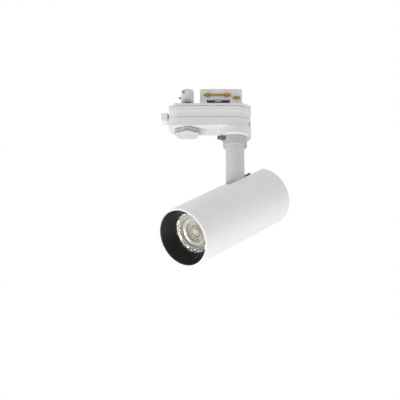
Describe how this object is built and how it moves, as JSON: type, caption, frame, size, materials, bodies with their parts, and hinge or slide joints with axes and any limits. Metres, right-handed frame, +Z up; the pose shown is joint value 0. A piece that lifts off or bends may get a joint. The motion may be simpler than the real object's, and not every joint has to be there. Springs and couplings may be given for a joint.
{
  "type": "track spotlight",
  "caption": "Cylindrical LED track spotlight: slotted tube head tilting on a stem that turns under a three-circuit track adapter with a locking lever and a selector knob.",
  "frame": {"origin": "on the pan axis at the adapter's top face, which lies against the underside of the track", "axes": "+Z up along the pan axis into the track, +X along the track away from the selector knob"},
  "size_m": [0.1397, 0.1397, 0.2115],
  "materials": {
    "white_paint": "white powder coat, fine satin texture",
    "white_plastic": "moulded, fine spark-eroded texture",
    "grey_plastic": "moulded, satin",
    "black_plastic": "matt black, anti-glare",
    "bare_aluminium": "turned and milled",
    "zinc_steel": "bright zinc plate",
    "dark_screw": "black oxide",
    "contact_brass": "rolled strip",
    "lens_acrylic": "polished clear acrylic",
    "phosphor": "silicone over phosphor",
    "ceramic": "fired white",
    "circuit_board": "solder mask",
    "lead_sleeve": "smooth sheath"
  },
  "bodies": {
    "adapter": {"lower_housing": "white_plastic", "upper_housing": "white_plastic", "cover_plate": "white_plastic", "contact_tongue": "white_plastic", "neutral_contact": "contact_brass", "earth_contacts": "contact_brass", "housing_screws": "zinc_steel", "terminal_block": "grey_plastic", "terminal_screws": "zinc_steel"},
    "lock_lever": {"locking_lever": "grey_plastic", "lock_cam": "zinc_steel"},
    "rear_cam": {"rear_lock_cam": "zinc_steel"},
    "link_bar": {"lock_link": "zinc_steel"},
    "selector": {"selector_knob": "grey_plastic", "selector_shaft": "zinc_steel", "contact_turret": "grey_plastic", "phase_contacts": "contact_brass"},
    "stem_arm": {"collar": "white_paint", "pan_lock_screw": "dark_screw", "stem": "white_paint", "pan_nipple": "zinc_steel", "stop_washer": "zinc_steel", "spring_washer": "zinc_steel", "pan_nut": "zinc_steel", "stem_lead": "lead_sleeve"},
    "lamp_head": {"head_tube": "white_paint", "driver_tube": "white_paint", "rear_cap": "white_paint", "rear_cap_screws": "zinc_steel", "driver_case": "black_plastic", "driver_board": "circuit_board", "driver_tray": "black_plastic", "bulkhead": "bare_aluminium", "tie_screws": "zinc_steel", "hinge_bracket": "zinc_steel", "bracket_screws": "zinc_steel", "friction_washers": "black_plastic", "tilt_bolt": "zinc_steel", "tilt_nut": "zinc_steel", "heat_sink": "bare_aluminium", "led_leads": "lead_sleeve", "led_board": "ceramic", "led_chip": "phosphor", "led_holder": "black_plastic", "led_screws": "zinc_steel", "lens": "lens_acrylic", "lens_holder": "white_plastic", "baffle": "black_plastic"}
  },
  "joints": [
    {"name": "pan", "type": "hinge", "parent": "adapter", "child": "stem_arm", "pos_m": [0, 0, -0.035], "axis": [0, 0, 1], "range_deg": [-215, 125]},
    {"name": "tilt", "type": "hinge", "parent": "stem_arm", "child": "lamp_head", "pos_m": [0, 0, -0.1049], "axis": [0.7071, -0.7071, 0], "range_deg": [-30, 60]},
    {"name": "lock", "type": "hinge", "parent": "adapter", "child": "lock_lever", "pos_m": [-0.0517, 0, -0.01], "axis": [0, 0, 1], "range_deg": [-90, 0]},
    {"name": "rear_lock", "type": "hinge", "parent": "adapter", "child": "rear_cam", "pos_m": [-0.018, 0, -0.01], "axis": [0, 0, 1], "range_deg": [-90, 0]},
    {"name": "link_swing", "type": "hinge", "parent": "lock_lever", "child": "link_bar", "pos_m": [-0.04463, -0.00707, -0.009], "axis": [0, 0, 1], "range_deg": [0, 90]},
    {"name": "selector_turn", "type": "hinge", "parent": "adapter", "child": "selector", "pos_m": [-0.0517, 0, -0.028], "axis": [0, 0, 1], "range_deg": [-72, 144]}
  ],
  "couplings": [
    {"joint": "rear_lock", "follows": "lock", "ratio": 1},
    {"joint": "link_swing", "follows": "lock", "ratio": -1}
  ]
}
